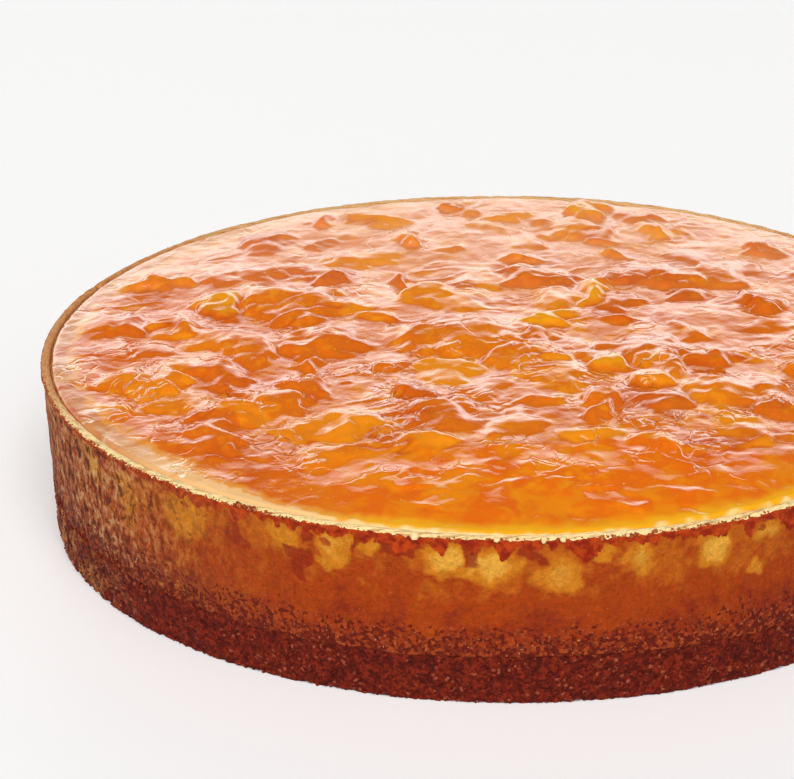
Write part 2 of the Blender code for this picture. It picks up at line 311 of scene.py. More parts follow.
def new_finish(name):
    """A finish for a new material of that name."""
    return Finish(bpy.data.materials.new(name))


print("helpers are ready")

# %% [markdown]
# The solids' uneven edges follow a few seeded sums of waves. The same sums are worked out here from
# the same seeds, so that the fine surfaces rise and fall where the solids do: the seam between the
# crumbs and the filling, the top of the lip, the crags of the wall and the swell of the jam.

# %% The uneven rules that the solids follow
def ring_wave(angle, seed, size):
    """A seeded sum of six whole-turn cosines round the cake, about `size` high."""
    draw = random.Random(seed)
    total = np.zeros_like(angle)
    for _ in range(6):
        turns = draw.randint(2, 9)
        total += np.cos(turns * angle + draw.uniform(0, 2 * math.pi))
    return size * total / math.sqrt(12)


def crags(angle, height, seed, size):
    """Relief of a baked wall from 0 to `size`: sixteen seeded waves that run round the cake and up it."""
    draw = random.Random(seed)
    total = np.zeros_like(angle)
    for _ in range(16):
        turns = draw.randint(18, 44)
        climb = draw.choice((-1, 1)) * 2 * math.pi / draw.uniform(9 * MM, 24 * MM)
        total += np.cos(turns * angle + climb * height + draw.uniform(0, 2 * math.pi))
    return size * np.clip(0.5 + 0.5 * total / math.sqrt(32), 0.0, 1.0)


def plane_waves(x, y, seed, count, size, lengths):
    """A seeded sum of plane waves in all directions, whose usual height is `size`."""
    draw = random.Random(seed)
    total = np.zeros_like(x)
    for _ in range(count):
        heading = draw.uniform(0, 2 * math.pi)
        pace = 2 * math.pi / draw.uniform(*lengths)
        along = x * math.cos(heading) + y * math.sin(heading)
        total += np.cos(pace * along + draw.uniform(0, 2 * math.pi))
    return size * total / math.sqrt(count / 2)


def wall_radius(height):
    """The wall leans out evenly from the foot to the shoulder under the lip."""
    return FOOT_RADIUS + (RIM_RADIUS - FOOT_RADIUS) * height / (CAKE_HEIGHT - SHOULDER_DROP)


def seam_wave(angle):
    """How far the top of the crumbs is above or below its mean height."""
    return ring_wave(angle, 2, 0.8 * MM)


print("the seam runs", round(float(np.ptp(seam_wave(np.linspace(0, 6.28, 720)))) / MM, 2), "mm up and down")

# %% [markdown]
# The filling is a turned shape: a profile from the axis, over the lip, down the wall and back to
# the axis. The Screw modifier would turn it, but then every column would be alike. Here the profile
# is turned in numpy, and each point can be pushed in or out by its own place, which gives the
# ragged lip, the crags and the small pits.

# %% The filling's profile
def arc(centre, radii, start, end, count):
    """Points on a quarter of an ellipse, between two angles in degrees."""
    turn = np.radians(np.linspace(start, end, count))
    return np.column_stack((centre[0] + radii[0] * np.cos(turn), centre[1] + radii[1] * np.sin(turn)))


SHOULDER = CAKE_HEIGHT - SHOULDER_DROP
FILLING_FLOOR = CRUMB_HEIGHT - 0.2 * MM
LIP_CREST = WELL_RADIUS + LIP_ROUND
wall_heights = np.linspace(SHOULDER, FILLING_FLOOR, 58)[1:]
filling_profile = np.vstack((
    [(WELL_RADIUS - LIP_ROUND, CAKE_HEIGHT - WELL_DEPTH)],
    arc((LIP_CREST, CAKE_HEIGHT - LIP_ROUND), (LIP_ROUND, LIP_ROUND), 180, 90, 7),
    arc((LIP_CREST, SHOULDER), (RIM_RADIUS - LIP_CREST, SHOULDER_DROP), 90, 0, 9)[1:],
    np.column_stack((wall_radius(wall_heights), wall_heights)),
    [(FOOT_RADIUS - 4 * MM, FILLING_FLOOR)],
))
print("the filling's profile has", len(filling_profile), "points")

# %% [markdown]
# The wall stuck to the tin and tore a little when it came off. Each point is pushed inwards by the
# crags that the solid has too, then by finer noise, pits and, on the dry left side, a bark. The lip
# sank unevenly while the cake cooled, so its points are lowered, most of all at the small nick. A
# mask from 0 to 1, such as `on_lip`, keeps each push on its own part.

# %% Turn the filling and roughen it
FILLING_COLUMNS = 1200
radius, height, angle = turned_grid(filling_profile, FILLING_COLUMNS)
x, y = radius * np.cos(angle), radius * np.sin(angle)

near_crest = smooth(SHOULDER, CAKE_HEIGHT - 0.5 * MM, height)
on_lip = near_crest * smooth(WELL_RADIUS - 0.3 * MM, WELL_RADIUS, radius)
under_shoulder = 1 - smooth(SHOULDER - 1 * MM, SHOULDER, height)
on_wall = smooth(FOOT_RADIUS - 3 * MM, FOOT_RADIUS, radius) * under_shoulder
outer = smooth(WELL_RADIUS + 0.5 * MM, RIM_RADIUS - 0.6 * MM, radius)

inward = on_wall * crags(angle, height, 7, 0.28 * MM)
inward += outer * 0.12 * MM * (1 + noise(x, y, height, 5 * MM, 51))
inward += outer * 0.12 * MM * (1 + noise(x, y, 0.5 * height, 2.0 * MM, 52))
pits = smooth(0.52, 0.75, noise(x, y, height, 3.2 * MM, 53))
inward += on_wall * pits * 0.35 * MM
from_front = degrees_from_front(angle)
# The dried left side: its bark relief is real, while the finish paints haze, highlights and shade there for
# light that grazes it.
dry = on_wall * smooth(22, 66, from_front) * smooth(135, 86, from_front)
inward += dry * 0.20 * MM * (1 + noise(x, y, 0.7 * height, 2.6 * MM, 56))
inward += dry * 0.12 * MM * (1 + noise(x, y, 0.7 * height, 1.4 * MM, 57))

lowered = on_lip * np.abs(ring_wave(angle, 9, 0.30 * MM))
along_rim = angle * RIM_RADIUS / 4
lowered += on_lip * 0.18 * MM * (1 + noise(x, y, 0, 3.0 * MM, 54))
lowered += on_lip * 0.14 * MM * (1 + noise(along_rim, radius, 0, 0.8 * MM, 55))
from_nick = np.abs((angle - NICK_ANGLE + math.pi) % (2 * math.pi) - math.pi) * RIM_RADIUS
lowered += 1.3 * MM * on_lip * (1 - smooth(0.4 * MM, 2.2 * MM, from_nick))

at_floor = smooth(FILLING_FLOOR + 9 * MM, FILLING_FLOOR, height)
height = height - lowered + at_floor * seam_wave(angle) * (radius / FOOT_RADIUS) ** 2
radius = radius - inward
filling_rows = (radius * np.cos(angle), radius * np.sin(angle), height)
print("the wall's crags go", round(float(inward.max()) / MM, 2), "mm deep")

# %% [markdown]
# The browning of the wall is a picture in itself. The heat ran down from the rim: a thin brick-red
# band hangs under the lip in drips, pale yellow patches show below it where the cheese pulled away
# from the tin, and from there the colour deepens from amber to mahogany at the seam. The patches
# that the photograph shows are placed one by one, as an angle, a depth below the rim, a width and a
# height; noise bends their outlines and makes more of them at the back. The left side dried out and
# broke like bark, and there light grazes the wall: its colour is painted lighter as a haze, its
# flakes are partly painted highlights and its clefts painted shade. Crumbs of the base cling to the
# lowest third of the wall.

# %% Patches on the wall
# Each pale patch is a place in degrees, a depth, a width and a height in mm, and a strength.
PALE_PATCHES = (
    (-98.5, 6.6, 8.0, 8.0, 1.0), (-93.3, 8.2, 11.5, 7.6, 1.0), (-85.2, 10.8, 9.5, 9.0, 0.75),
    (-79.7, 5.2, 5.5, 4.4, 0.6), (-75.8, 7.8, 5.0, 8.0, 0.8), (-66.9, 7.0, 6.8, 8.0, 1.0),
    (-60.5, 6.0, 5.0, 4.0, 0.8), (-60.6, 14.6, 3.6, 4.0, 0.7), (-110.8, 6.2, 7.0, 9.0, 0.8),
    (-117.6, 6.0, 6.5, 8.0, 0.6), (-106.4, 4.8, 5.0, 3.6, 0.7), (-112.3, 11.4, 5.4, 3.4, 0.6),
    (-132.0, 8.5, 11.0, 11.0, 0.55), (-142.2, 11.0, 8.0, 16.0, 0.4), (-149.5, 6.5, 7.0, 9.0, 0.9),
)
DARK_PATCHES = (
    (-114.3, 4.7, 4.0, 3.5), (-115.4, 12.0, 5.5, 7.0), (-117.0, 8.5, 3.0, 4.0), (-108.1, 5.0, 2.6, 6.0),
    (-103.2, 4.6, 9.0, 5.5), (-124.2, 8.1, 7.0, 8.0), (-95.6, 4.6, 4.5, 8.0), (-88.4, 4.5, 5.0, 7.0),
    (-137.5, 7.0, 3.0, 7.0),
)


def patches(places, angle, down, bend_round, bend_down):
    """The strongest of some soft ovals: the strength times a fall from 1 at 0.45 to 0 at twice the oval."""
    total = np.zeros_like(down)
    for place, below, wide, tall, strength in places:
        away = (angle - math.radians(place) + math.pi) % (2 * math.pi) - math.pi
        across = (away * RIM_RADIUS + bend_round) / (0.45 * wide * MM)
        along = (down - below * MM + bend_down) / (0.45 * tall * MM)
        total = np.maximum(total, strength * smooth(2.0, 0.45, np.hypot(across, along)))
    return total


print(len(PALE_PATCHES), "pale and", len(DARK_PATCHES), "dark patches are placed one by one")

# %% Where the wall is browned
depth = CAKE_HEIGHT - height
x, y, z = filling_rows
bend_round = 2.0 * MM * noise(x, y, z, 3.0 * MM, 61) + 2.5 * MM * noise(x, y, z, 7.0 * MM, 62)
bend_down = 1.8 * MM * noise(x, y, z, 3.0 * MM, 63) + 1.5 * MM * noise(x, y, z, 7.0 * MM, 64)
pale = patches(PALE_PATCHES, angle, depth, bend_round, bend_down)
dark = patches([(*place, 1.0) for place in DARK_PATCHES], angle, depth, bend_round, bend_down)
out_of_view = smooth(62, 75, from_front) * smooth(325, 312, from_front)
height_window = smooth(1.5 * MM, 4 * MM, depth) * smooth(17 * MM, 7 * MM, depth)
strewn = smooth(0.15, 0.6, noise(x, y, 0.6 * z, 8 * MM, 65)) * height_window * out_of_view
pale = np.maximum(pale, strewn)

drip = 3.0 * MM + 2.4 * MM * noise(x, y, 0.4 * z, 2.4 * MM, 66)
drip += 6.5 * MM * np.maximum(noise(x, y, 0, 6.0 * MM, 67), 0)
drip += 1.3 * MM * (0.5 - grain_distance(x, y, z, 1.5 * MM, 72))
crust = smooth(1.0 * MM, -0.6 * MM, depth - drip) * outer
blots = smooth(0.42, 0.7, noise(x, y, z, 2.6 * MM, 68)) * smooth(13 * MM, 3 * MM, depth) * outer
toast = (depth - 7 * MM) / (25 * MM) + 0.45 * noise(x, y, z, 13 * MM, 69)
toast += 0.30 * noise(x, y, z, 4.5 * MM, 70)
low = smooth(19 * MM, 33 * MM, depth)
ragged = 0.35 * MM * noise(x, y, 0, 1.6 * MM, 71)
cream = smooth(RIM_RADIUS - 0.20 * MM, RIM_RADIUS - 0.65 * MM, radius + ragged)
cream *= smooth(2.2 * MM, 1.3 * MM, depth)
# The lip is cream, partly its own colour and partly a painted highlight: by its angle round the cake it is
# painted lightest along the front.
light_at = np.radians([-180, -165, -152, -40, -20, 20, 60, 130, 150, 180])
lip_light = np.interp((angle + math.pi) % (2 * math.pi) - math.pi, light_at,
                      [0.5, 0.65, 1.0, 1.0, 0.8, 0.5, 0.75, 0.7, 0.5, 0.5])
print("pale patches cover", round(100 * float(pale[20:].mean()), 1), "% of the wall")

# %% [markdown]
# The finish of the filling mixes its colours by those values, one layer over the other: amber to
# mahogany first, then the pale patches, the dark band, the bark with its painted haze, highlights
# and shade, the crumbs and last the cream of the lip, which is painted lightest along the front as a
# painted highlight. A fine grain then makes it lighter and darker speck by speck, and the same
# noises drive the bumps, so that colour and relief agree.

# %% The finish of the baked filling
def baked_filling():
    """Cream, pale cheese, amber, red-brown and brick by the marks on the points, under a fine grain."""
    finish = new_finish("baked_filling")
    place = finish.place()
    fine = finish.cloud(place, 0.55 * MM, 3.0, 0.6)
    coarse = finish.cloud(place, 2.2 * MM, 3.0, 0.6)
    specks = finish.grains(place, 1.1 * MM)["Distance"]
    grain = finish.cloud(place, 1.3 * MM, 4.0, 0.7)
    flattened = {0: place, 1: (1.0, 1.0, 0.72)}
    upright = finish.add("ShaderNodeVectorMath", {"operation": "MULTIPLY"}, flattened)[0]
    streaks = finish.cloud(finish.shift(upright, 3 * MM, 2.4 * MM), 2.1 * MM, 5.0, 0.68)
    dry = finish.mark("dry")
    toast = finish.mark("toast") + (coarse - 0.5) * 0.9 + (streaks - 0.5) * 0.6
    colour = finish.mix((0.45, 0.100, 0.007), (0.35, 0.046, 0.004), finish.ease(toast, -0.10, 0.32))
    colour = finish.mix(colour, (0.235, 0.024, 0.006), finish.ease(toast, 0.42, 1.05))
    pale = finish.mark("pale") + (coarse - 0.5) * 0.35
    colour = finish.mix(colour, (0.54, 0.175, 0.010), finish.ease(pale, 0.05, 0.50))
    colour = finish.mix(colour, (0.68, 0.34, 0.042), finish.ease(pale, 0.52, 1.10))
    blots = finish.mark("blots") + (fine - 0.5) * 0.4
    colour = finish.mix(colour, (0.32, 0.035, 0.006), finish.ease(blots, 0.35, 0.75) * 0.8)
    dark = finish.mark("dark") + (coarse - 0.5) * 0.9 + (fine - 0.5) * 0.3
    colour = finish.mix(colour, (0.26, 0.022, 0.005), finish.ease(dark, 0.30, 0.75) * 0.85)
    crust = finish.mark("crust") + (fine - 0.5) * 1.1 + (coarse - 0.5) * 1.0
    brick = finish.mix((0.46, 0.052, 0.006), (0.26, 0.016, 0.004), finish.ease(coarse, 0.40, 0.62))
    colour = finish.mix(colour, brick, finish.ease(crust, 0.35, 0.60))
    # Painted haze: the dried left side is painted lighter and hazier.
    colour = finish.mix(colour, (0.44, 0.16, 0.055), dry * 0.25)
    # Flakes: gold streaks of the cake's own colour in front, and pale painted highlights further left.
    flake_and_painted_highlight = finish.mix((0.62, 0.23, 0.020), (0.62, 0.36, 0.155), finish.ease(dry, 0.30, 0.95))
    # Painted shade: near-black in the clefts of the bark.
    colour = finish.mix(colour, (0.055, 0.010, 0.006), finish.ease(streaks, 0.49, 0.42) * dry * 0.9)
    colour = finish.mix(colour, flake_and_painted_highlight, finish.ease(streaks, 0.49, 0.63) * dry * 0.85)
    crumb = finish.add("ShaderNodeSeparateColor", {}, {0: finish.grains(place, 0.8 * MM)["Color"]})
    crumbs = finish.mark("low") * 1.1 + crumb[0] * 0.8 + (coarse - 0.5) * 1.2
    crumb_colour = finish.mix((0.10, 0.009, 0.005), (0.36, 0.060, 0.014), finish.ease(crumb[1], 0.35, 1.0))
    colour = finish.mix(colour, crumb_colour, finish.ease(crumbs, 1.02, 1.12) * 0.85)
    # Painted highlight: this mark sets how far the lip is painted from brown over tan to cream, lightest
    # along the front.
    light = finish.mark("lip_light")
    lip = finish.mix((0.42, 0.12, 0.030), (0.70, 0.33, 0.12), finish.ease(light, 0.0, 0.5))
    lip = finish.mix(lip, (0.97, 0.74, 0.36), finish.ease(light, 0.5, 1.0))
    from_middle = finish.add("ShaderNodeVectorMath", {"operation": "LENGTH"}, {0: place})["Value"]
    rings = finish.add("ShaderNodeCombineXYZ", {}, {0: from_middle * 9.0, 1: 0.0, 2: 0.0})[0]
    rings = finish.add("ShaderNodeVectorMath", {"operation": "ADD"}, {0: rings, 1: place})[0]
    layers = finish.cloud(rings, 3.2 * MM, 2.0, 0.5)
    lip = finish.mix(lip, (0.52, 0.20, 0.050), finish.ease(layers, 0.50, 0.62) * 0.65)
    lip = finish.mix(lip, (0.33, 0.065, 0.014), finish.ease(grain, 0.50, 0.60) * (1.05 - light))
    cream = finish.mark("cream") + (fine - 0.5) * 0.7 + (coarse - 0.5) * 0.6
    colour = finish.mix(colour, lip, finish.ease(cream, 0.40, 0.60))
    glint = finish.ease(finish.cloud(place, 0.6 * MM, 1.0), 0.68, 0.76)
    colour = finish.tint(colour, 0.5 * fine + 1.1 * grain + 0.18)
    colour = finish.mix(colour, (0.80, 0.48, 0.28), glint * (0.12 + 0.5 * finish.mark("low")))
    bumps = finish.bump(streaks * dry, 1.2 * MM)
    bumps = finish.bump(grain, 0.7 * MM, bumps)
    bumps = finish.bump(specks * 0.5 + fine, 0.25 * MM, bumps)
    rough = 0.50 + 0.25 * fine - 0.3 * glint
    return finish.skin({
        "Base Color": colour, "Roughness": rough, "Normal": bumps, "Specular IOR Level": 0.06,
        "Subsurface Weight": 0.1, "Subsurface Radius": (1.0, 0.3, 0.1), "Subsurface Scale": 1.0 * MM,
    })


filling_marks = {
    "toast": toast, "pale": pale, "blots": blots, "crust": crust, "cream": cream,
    "lip_light": lip_light, "dark": dark, "dry": dry, "low": low,
}
for name, values in filling_marks.items():
    flat = values.ravel()
    filling_marks[name] = np.concatenate((flat[:1], flat, flat[-1:]))
filling = make_piece(
    "baked_filling_surface",
    turned_points(*filling_rows, CAKE_HEIGHT - WELL_DEPTH, FILLING_FLOOR),
    turned_faces(*height.shape),
    baked_filling(), "browned_filling", ["cheese_filling"], **filling_marks,
)

# %% [markdown]
# The base is biscuit crumb pressed into the tin. From the side it is a wall of grains a millimetre
# or two wide, and its top and bottom edges are broken where grains fell off. One more turned
# surface holds it, pushed in and out by grain distances at two sizes. Separate grains come later to
# break up its outline.

# %% Turn the crumb base and roughen it
TOP_EDGE = 0.5 * MM
base_top_radius = float(wall_radius(CRUMB_HEIGHT))
wall_heights = np.linspace(CRUMB_HEIGHT - TOP_EDGE, 0.7 * MM, 28)[1:]
base_profile = np.vstack((
    [(base_top_radius - 4 * MM, CRUMB_HEIGHT)],
    arc((base_top_radius - TOP_EDGE, CRUMB_HEIGHT - TOP_EDGE), (TOP_EDGE, TOP_EDGE), 90, 0, 4),
    np.column_stack((wall_radius(wall_heights), wall_heights)),
    arc((FOOT_RADIUS - 0.7 * MM, 0.7 * MM), (0.7 * MM, 0.7 * MM), -15, -90, 4),
))
BASE_COLUMNS = 1440
radius, height, angle = turned_grid(base_profile, BASE_COLUMNS)
x, y = radius * np.cos(angle), radius * np.sin(angle)
outer = smooth(FOOT_RADIUS - 3 * MM, FOOT_RADIUS - 1 * MM, radius)
big_grains = grain_distance(x, y, height, 2.3 * MM, 81)
small_grains = grain_distance(x, y, height, 1.2 * MM, 82)
inward = crags(angle, height, 3, 0.45 * MM)
inward += 0.55 * MM * smooth(0.25, 0.95, big_grains)
inward += 0.28 * MM * smooth(0.2, 0.9, small_grains) - 0.25 * MM
inward += 0.25 * MM * noise(x, y, height, 6 * MM, 83)
near_top = np.clip(height / CRUMB_HEIGHT, 0, 1) * (radius / base_top_radius) ** 2
raised = near_top * (seam_wave(angle) + 0.5 * MM * noise(x, y, 0, 2.4 * MM, 84))
bottom_break = smooth(1.6 * MM, 0.0, height) * smooth(0.1, 0.7, noise(x, y, 0, 2.0 * MM, 85)) * 0.9 * MM
radius = radius - outer * (inward + bottom_break)
height = np.maximum(height + raised, 0.0)
base_rows = (radius * np.cos(angle), radius * np.sin(angle), height)
# Painted shade: the gaps between the big grains, which the finish paints almost black.
cracks = smooth(0.35, 0.95, big_grains)
from_front = degrees_from_front(angle)
# Partly painted sheen: the left of the base is lighter and more gold, partly its own tone and partly light
# that grazes it.
golden = smooth(48, 75, from_front) * smooth(120, 90, from_front)
golden *= smooth(-0.5, 0.6, noise(x, y, height, 4 * MM, 86))
print("the base's grains stand out by up to", round(float((outer * inward).max()) / MM, 2), "mm")

# %% [markdown]
# Crushed biscuit is a crowd of flat colours, one for each grain. Cell noise gives every grain its
# own chance shade, which picks a colour between a dark and a light one and makes a few grains much
# paler, as painted glints. The gaps between the grains are painted almost black, as shade, and the
# left of the base is painted lighter and more gold, partly its own tone and partly a painted sheen
# of light that grazes it. The same finish, with lighter colours, serves the loose crumbs, so it is
# a function of its three colours.

# %% The finish of the crumb base
def toasted_crumbs(name, dark, light, painted_glint_speck):
    """Baked crumbs: each grain has a shade between dark and light, and some specks are painted paler as
    glints.
    """
    finish = new_finish(name)
    place = finish.place()
    fine = finish.cloud(place, 0.5 * MM, 3.0, 0.65)
    cell = finish.grains(place, 0.75 * MM)
    shade = finish.add("ShaderNodeSeparateColor", {}, {0: cell["Color"]})[0]
    broad = finish.cloud(place, 9 * MM, 2.0, 0.5)
    colour = finish.mix(dark, light, finish.ease(shade * 0.5 + fine * 0.6, 0.30, 0.85))
    # Painted glints: a few specks are painted much paler, as sugar that catches the light.
    colour = finish.mix(colour, painted_glint_speck, finish.ease(shade + (broad - 0.5) * 0.3, 0.93, 1.00) * 0.5)
    # Painted shade in the gaps between the grains.
    colour = finish.mix(colour, (0.050, 0.005, 0.003), finish.mark("cracks") * 0.7)
    # Partly painted sheen: lighter, more gold grains on the left.
    golden = finish.mark("golden") * finish.ease(shade + fine, 0.55, 1.3)
    colour = finish.mix(colour, (0.50, 0.20, 0.060), golden)
    colour = finish.tint(colour, 0.55 + 0.9 * fine)
    bumps = finish.bump(fine + (1 - cell["Distance"]) * 0.8, 0.30 * MM)
    sugar = finish.ease(finish.cloud(place, 0.8 * MM, 1.0), 0.66, 0.72)
    rough = 0.55 + 0.2 * fine - 0.38 * sugar
    values = {"Base Color": colour, "Roughness": rough, "Normal": bumps, "Specular IOR Level": 0.08}
    return finish.skin(values)


# Each is a dark, a light and a painted glint colour.
BISCUIT = ((0.080, 0.006, 0.003), (0.22, 0.020, 0.006), (0.42, 0.13, 0.065))
LOOSE = ((0.090, 0.007, 0.004), (0.25, 0.024, 0.008), (0.48, 0.16, 0.080))
BROWNED = ((0.26, 0.035, 0.008), (0.50, 0.15, 0.040), (0.70, 0.36, 0.14))
flat = [np.concatenate(([0.0], values.ravel(), [0.0])) for values in (cracks, golden)]
base = make_piece(
    "crumb_base_surface",
    turned_points(*base_rows, CRUMB_HEIGHT, 0.0),
    turned_faces(*height.shape),
    toasted_crumbs("pressed_crumbs", *BISCUIT), "toasted_crumbs", ["crumb_base"],
    cracks=flat[0], golden=flat[1],
)

# %% [markdown]
# The jam is the show of this cake. It was spooned on, so its top is a height for every place: a low
# cushion that falls to the lip, slow swells, lumps of fruit under the jam, and a film between them.
# The large lumps are placed as the photograph shows them and the rest follow a sunflower spiral.
# Each is a dome, a power mean joins them as a skin would, and bending the plane first keeps the
# lumps from looking like eggs. At the front the lumps sink into clear jam.

# %% Where the lumps of fruit lie
GOLDEN_ANGLE = math.pi * (3 - math.sqrt(5))
FRUIT_REACH = 101 * MM
REACH_SHIFT = 9 * MM
# Each large piece is x, y, length and width in metres, a turn in degrees, and a height in metres.
LARGE_PIECES = (
    (-0.074, 0.027, 0.010, 0.020, 10, 0.0035),
    (-0.053, 0.027, 0.023, 0.020, 3, 0.0034),
    (-0.048, -0.002, 0.018, 0.021, 25, 0.0037),
    (-0.066, -0.004, 0.017, 0.018, 12, 0.0032),
    (-0.087, -0.028, 0.009, 0.020, -10, 0.0035),
    (-0.072, -0.025, 0.014, 0.021, 15, 0.0032),
    (-0.069, -0.047, 0.010, 0.019, 40, 0.0033),
    (-0.073, -0.063, 0.012, 0.019, 30, 0.0034),
    (-0.040, -0.059, 0.014, 0.018, -5, 0.0032),
    (-0.059, -0.044, 0.013, 0.016, 25, 0.0031),
    (-0.013, 0.000, 0.031, 0.021, 2, 0.0035),
    (0.005, -0.017, 0.017, 0.019, 10, 0.0032),
    (0.010, 0.012, 0.008, 0.017, -40, 0.0033),
    (0.026, -0.020, 0.009, 0.012, 0, 0.0033),
    (0.040, -0.020, 0.010, 0.020, 0, 0.0032),
    (0.023, -0.048, 0.007, 0.020, -10, 0.0037),
    (0.053, -0.039, 0.013, 0.020, -15, 0.0033),
    (0.064, -0.036, 0.012, 0.020, 10, 0.0032),
    (0.025, 0.106, 0.010, 0.016, 0, 0.0032),
    (0.020, 0.088, 0.016, 0.020, 10, 0.0032),
    (0.046, 0.047, 0.026, 0.018, -12, 0.0032),
    (0.067, 0.027, 0.009, 0.017, 20, 0.0032),
    (0.024, 0.034, 0.008, 0.020, -10, 0.0037),
    (0.009, 0.046, 0.018, 0.015, 15, 0.0031),
    (-0.085, 0.011, 0.010, 0.017, 30, 0.0031),
)
YELLOW_PIECES = (0, 12, 13, 18, 22)


def fruit_layout():
    """The large pieces, then smaller ones on a sunflower spiral, moved, turned and sized by chance."""
    pieces = [(x, y, a, b, math.radians(turn), h) for x, y, a, b, turn, h in LARGE_PIECES]
    draw = random.Random(11)
    count = 110
    for i in range(count):
        reach = (FRUIT_REACH + REACH_SHIFT) * math.sqrt((i + 0.5) / count) + draw.uniform(-3 * MM, 3 * MM)
        angle = i * GOLDEN_ANGLE + draw.uniform(-0.12, 0.12)
        length = draw.uniform(8 * MM, 18 * MM)
        width = length * draw.uniform(0.6, 0.95)
        turn = draw.uniform(0, math.pi)
        height = draw.uniform(1.2 * MM, 3.2 * MM)
        pieces.append((reach * math.cos(angle), reach * math.sin(angle), length, width, turn, height))
    return pieces


print(len(fruit_layout()), "lumps of fruit")

# %% The shape of the lumps
def along_across(x, y, turn):
    """A way seen from axes turned by `turn`: x cos + y sin along them, and y cos - x sin across."""
    return x * math.cos(turn) + y * math.sin(turn), y * math.cos(turn) - x * math.sin(turn)


def domes(x, y):
    """Each piece's dome h (1 - away^2) over the whole top, one by one; `away` is 1 at its outline."""
    x = x + plane_waves(x, y, 21, 12, 1.5 * MM, (9 * MM, 28 * MM))
    y = y + plane_waves(x, y, 22, 12, 1.5 * MM, (9 * MM, 28 * MM))
    for px, py, length, width, turn, height in fruit_layout():
        along, across = along_across(x - px, y - py, turn)
        away = np.hypot(2 * along / length, 2 * across / width) / 1.35
        yield height * np.maximum(1 - away ** 2, 0)


def lumps(x, y, film):
    """The power mean of the film's depth and all domes, which joins them as a skin would."""
    return (film ** 4 + sum(dome ** 4 for dome in domes(x, y))) ** 0.25


def wobbled(x, y):
    """The place moved by up to about 1 mm, which frays the lumps' outlines."""
    return x + 1.4 * MM * noise(x, y, 0, 4.2 * MM, 88), y + 2.0 * MM * noise(x, y, 0, 4.2 * MM, 89)


test_x, test_y = np.meshgrid(np.linspace(-0.1, 0.1, 80), np.linspace(-0.1, 0.1, 80))
print("the lumps rise by up to", round(float(lumps(test_x, test_y, 0.6 * MM).max()) / MM, 2), "mm")

# %% [markdown]
# Between the lumps the skin of the jam tells the rest. It wrinkled while it set: thin folds wind
# over the fruit, a curly relief lies under them, and the deep pool at the front stayed smooth but
# for a few flat islands. Each of these is a small function of the place (x, y), and one function
# adds them up. The grid is a square bent to a disc, which has no pole in the middle of the top.

# %% The pool and the slope at the front
def frayed(x, y):
    """The place moved by up to about 10 mm, for borders that wander."""
    moved = y + 9 * MM * noise(x, y, 0, 18 * MM, 86) + 4 * MM * noise(x, y, 0, 7 * MM, 87)
    return x + 6 * MM * noise(x, y, 0, 15 * MM, 85), moved


def pool(x, y):
    """Share from 0 to 1 of clear jam: exp(-((x - 22)/65)^2) times a rise as y falls from -68 to -84 mm."""
    return smooth(-68 * MM, -84 * MM, y) * np.exp(-((x - 22 * MM) / (65 * MM)) ** 2)


def apron(x, y):
    """The slope at the front: 2.4 mm exp(-((x - 22)/70)^2) times a rise over 36 mm and a slow fall."""
    along = np.clip((y + 112 * MM) / (36 * MM), 0, 1) * smooth(75 * MM, -70 * MM, y)
    return 2.4 * MM * along * np.exp(-((x - 22 * MM) / (70 * MM)) ** 2)


print("the slope is up to", round(float(apron(test_x, test_y).max()) / MM, 2), "mm high")

# %% Flat islands in the pool
# Each island is x, y, length and width in metres, and a turn in degrees.
ISLANDS = (
    (-0.008, -0.090, 0.010, 0.0035, 0),
    (-0.002, -0.0925, 0.006, 0.003, 15),
    (-0.0186, -0.102, 0.008, 0.0045, 10),
    (0.024, -0.102, 0.012, 0.005, -25),
    (0.018, -0.096, 0.008, 0.0035, -20),
    (0.011, -0.093, 0.006, 0.003, 0),
    (0.044, -0.107, 0.009, 0.003, -30),
    (-0.024, -0.092, 0.009, 0.006, 20),
    (0.040, -0.096, 0.012, 0.003, -8),
)


def islands(x, y):
    """Flat spots in the pool: each oval takes out a slope of 0.16, so that it mirrors the window."""
    level = np.zeros_like(x)
    for px, py, length, width, degrees in ISLANDS:
        along, across = along_across(x - px, y - py, math.radians(degrees))
        away = np.hypot(2 * along / length, 2 * across / width)
        level += 0.16 * (py - y) * smooth(1.5, 1.2, away)
    return level


print(len(ISLANDS), "islands lie in the pool")

# %% Folds and curls of the skin
def crease(x, y):
    """Thin winding lines on the skin: patches of (1 - |noise|)^7, whose noise is drawn out to one side."""
    along, across = along_across(x, y, 0.35)
    line = (1 - np.abs(noise(along / 2.4, across, 0, 7 * MM, 98))) ** 7
    patches = smooth(-0.05, 0.35, noise(x, y, 0, 20 * MM, 99)) * smooth(-92 * MM, -76 * MM, y)
    return line * patches


def folds(x, y):
    """Each thin line is a ridge of 0.4 mm with a groove of half that depth on its far side."""
    return MM * (0.40 * crease(x, y) - 0.20 * crease(x, y - 0.9 * MM))


def curls(x, y):
    """A curly skin: three noises, each half as wide and as high as the last, at a winding place."""
    winding_x = x + 3.5 * MM * noise(x, y, 0, 7 * MM, 105)
    winding_y = y + 3.5 * MM * noise(x, y, 0, 7 * MM, 106)
    return sum(noise(winding_x, winding_y, 0, 6 * MM / fold, 106 + fold) / fold for fold in (1, 2, 4))


def bent(x, y):
    """The place moved by up to about 2 mm, so that lines drawn there wind."""
    return x + 2.0 * MM * noise(x, y, 0, 9 * MM, 91), y + 2.0 * MM * noise(x, y, 0, 9 * MM, 92)


print("the folds rise by up to", round(float(folds(test_x, test_y).max()) / MM, 2), "mm")

# %% The jam's height over the whole top
JAM_RADIUS = WELL_RADIUS - 0.1 * MM
JAM_EDGE = CAKE_HEIGHT - 0.55 * MM


